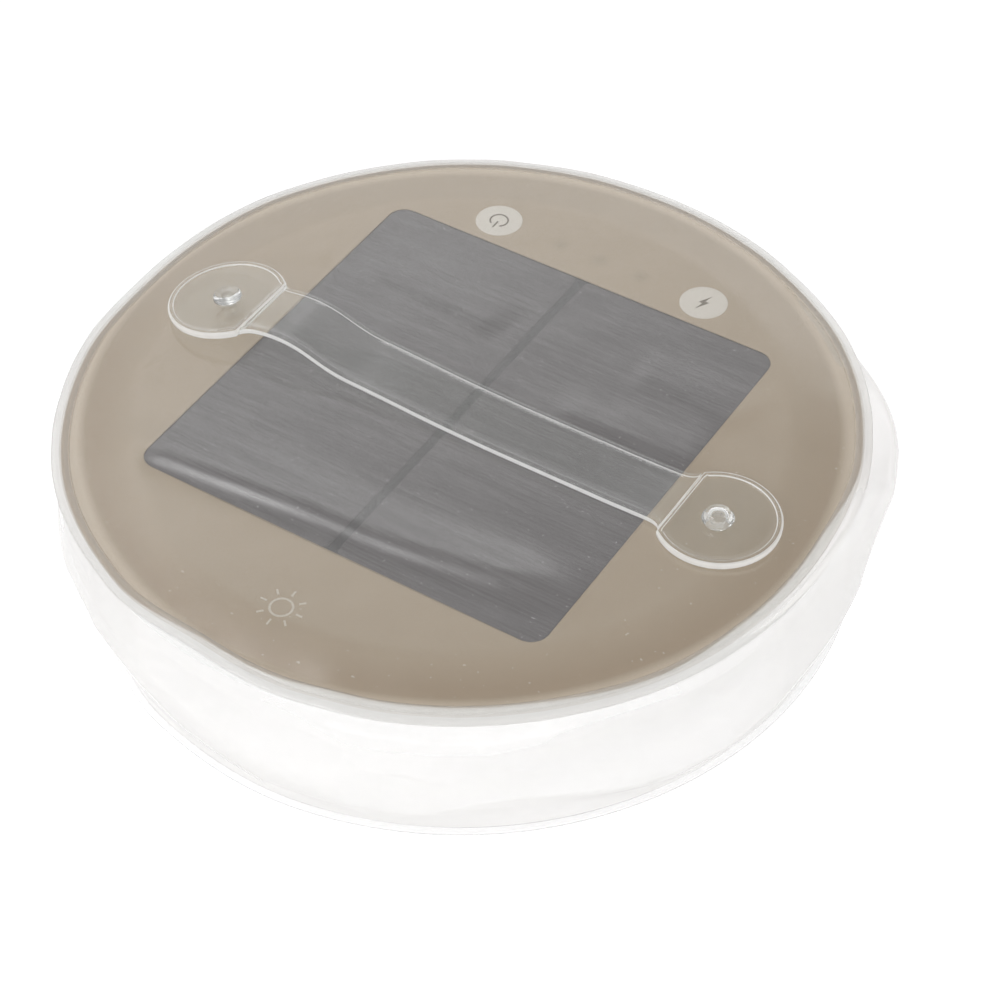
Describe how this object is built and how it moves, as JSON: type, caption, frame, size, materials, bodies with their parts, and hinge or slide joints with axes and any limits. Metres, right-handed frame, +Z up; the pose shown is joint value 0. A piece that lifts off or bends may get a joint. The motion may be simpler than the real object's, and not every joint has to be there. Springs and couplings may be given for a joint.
{
  "type": "floating solar light",
  "caption": "Round inflatable solar lantern folded flat: clear film chamber, lamp and solar window under the top sheet, press buttons, hanging strap, air valve below.",
  "frame": {"origin": "centre of the underside of the bottom sheet, on the ground", "axes": "+Z up through the air chamber, +X along the hanging strap towards its snap end, +Y towards the two press buttons"},
  "size_m": [0.132, 0.132, 0.0316],
  "materials": {
    "film": "clear soft film, wrinkled, glossy",
    "side_film": "clear soft film, folded, satin",
    "print": "warm grey-brown print under clear film",
    "window": "dark grey laminate over solar cells, fine lines",
    "cell": "dark silicon solar cell",
    "ribbon": "tinned copper ribbon",
    "black_board": "black fibreglass board",
    "housing": "white moulded plastic",
    "lens": "frosted translucent plastic",
    "reflector": "bright white moulded plastic",
    "seal": "soft black silicone",
    "pcb": "green circuit board",
    "led": "LED with a yellow phosphor face",
    "red_led": "small surface-mount LED",
    "light_pipe": "clear acrylic",
    "chip": "black moulded package",
    "ferrite": "dark ferrite with copper winding",
    "battery": "aluminium laminate pouch",
    "foam": "foam tape",
    "red_wire": "insulated wire",
    "black_wire": "insulated wire",
    "connector": "ivory nylon",
    "switch": "black tactile switch",
    "button": "pale warm grey pad with a plain symbol",
    "steel": "zinc plated steel",
    "clear_pvc": "clear flexible plastic, glossy edges",
    "clear_stud": "clear hard plastic",
    "valve": "milky soft plastic"
  },
  "bodies": {
    "base": {"bottom_sheet": "film", "side_wall": "side_film", "valve_seat": "valve"},
    "valve": {"valve_stem": "valve"},
    "plug": {"valve_plug": "valve"},
    "flap": {"valve_flap": "valve"},
    "lamp": {"top_sheet": "film", "graphic_disc": "print", "pocket_sheet": "film", "solar_cover": "window", "solar_cells": "cell", "cell_ribbons": "ribbon", "solar_board": "black_board", "upper_housing": "housing", "lens_cover": "lens", "gasket": "seal", "reflector": "reflector", "circuit_board": "pcb", "lamp_leds": "led", "level_leds": "red_led", "level_light_pipes": "light_pipe", "board_chips": "chip", "inductor": "ferrite", "battery": "battery", "battery_pad": "foam", "battery_wires": "red_wire", "battery_connector": "connector", "solar_wires": "black_wire", "power_switch": "switch", "level_switch": "switch", "screws": "steel", "strap_left_tab": "clear_pvc", "strap_rivet": "clear_stud", "snap_stud": "clear_stud"},
    "power_pad": {"power_button": "button"},
    "level_pad": {"level_button": "button"},
    "strap_middle": {"strap": "clear_pvc"},
    "strap_end": {"strap_right_tab": "clear_pvc"}
  },
  "joints": [
    {"name": "inflate", "type": "slide", "parent": "base", "child": "lamp", "axis": [0, 0, 1], "range_m": [0, 0.083], "deforming": ["side_wall"]},
    {"name": "valve_pull", "type": "slide", "parent": "base", "child": "valve", "axis": [0, 0, -1], "range_m": [0, 0.005]},
    {"name": "plug_pull", "type": "slide", "parent": "valve", "child": "plug", "axis": [0, 0, -1], "range_m": [0, 0.005]},
    {"name": "flap_open", "type": "hinge", "parent": "valve", "child": "flap", "pos_m": [0, -0.0266, 0.0077], "axis": [1, 0, 0], "range_deg": [0, 25]},
    {"name": "power_press", "type": "slide", "parent": "lamp", "child": "power_pad", "axis": [0, 0, -1], "range_m": [0, 0.0004], "stiffness_N_per_m": 1500},
    {"name": "level_press", "type": "slide", "parent": "lamp", "child": "level_pad", "axis": [0, 0, -1], "range_m": [0, 0.0004], "stiffness_N_per_m": 1500},
    {"name": "strap_swing", "type": "hinge", "parent": "lamp", "child": "strap_middle", "pos_m": [-0.03745, -0.001, 0.0302], "axis": [0, -1, 0], "range_deg": [0, 150]},
    {"name": "strap_tab_peel", "type": "hinge", "parent": "strap_middle", "child": "strap_end", "pos_m": [0.0395, -0.001, 0.02795], "axis": [0, -1, 0], "range_deg": [0, 60]}
  ]
}
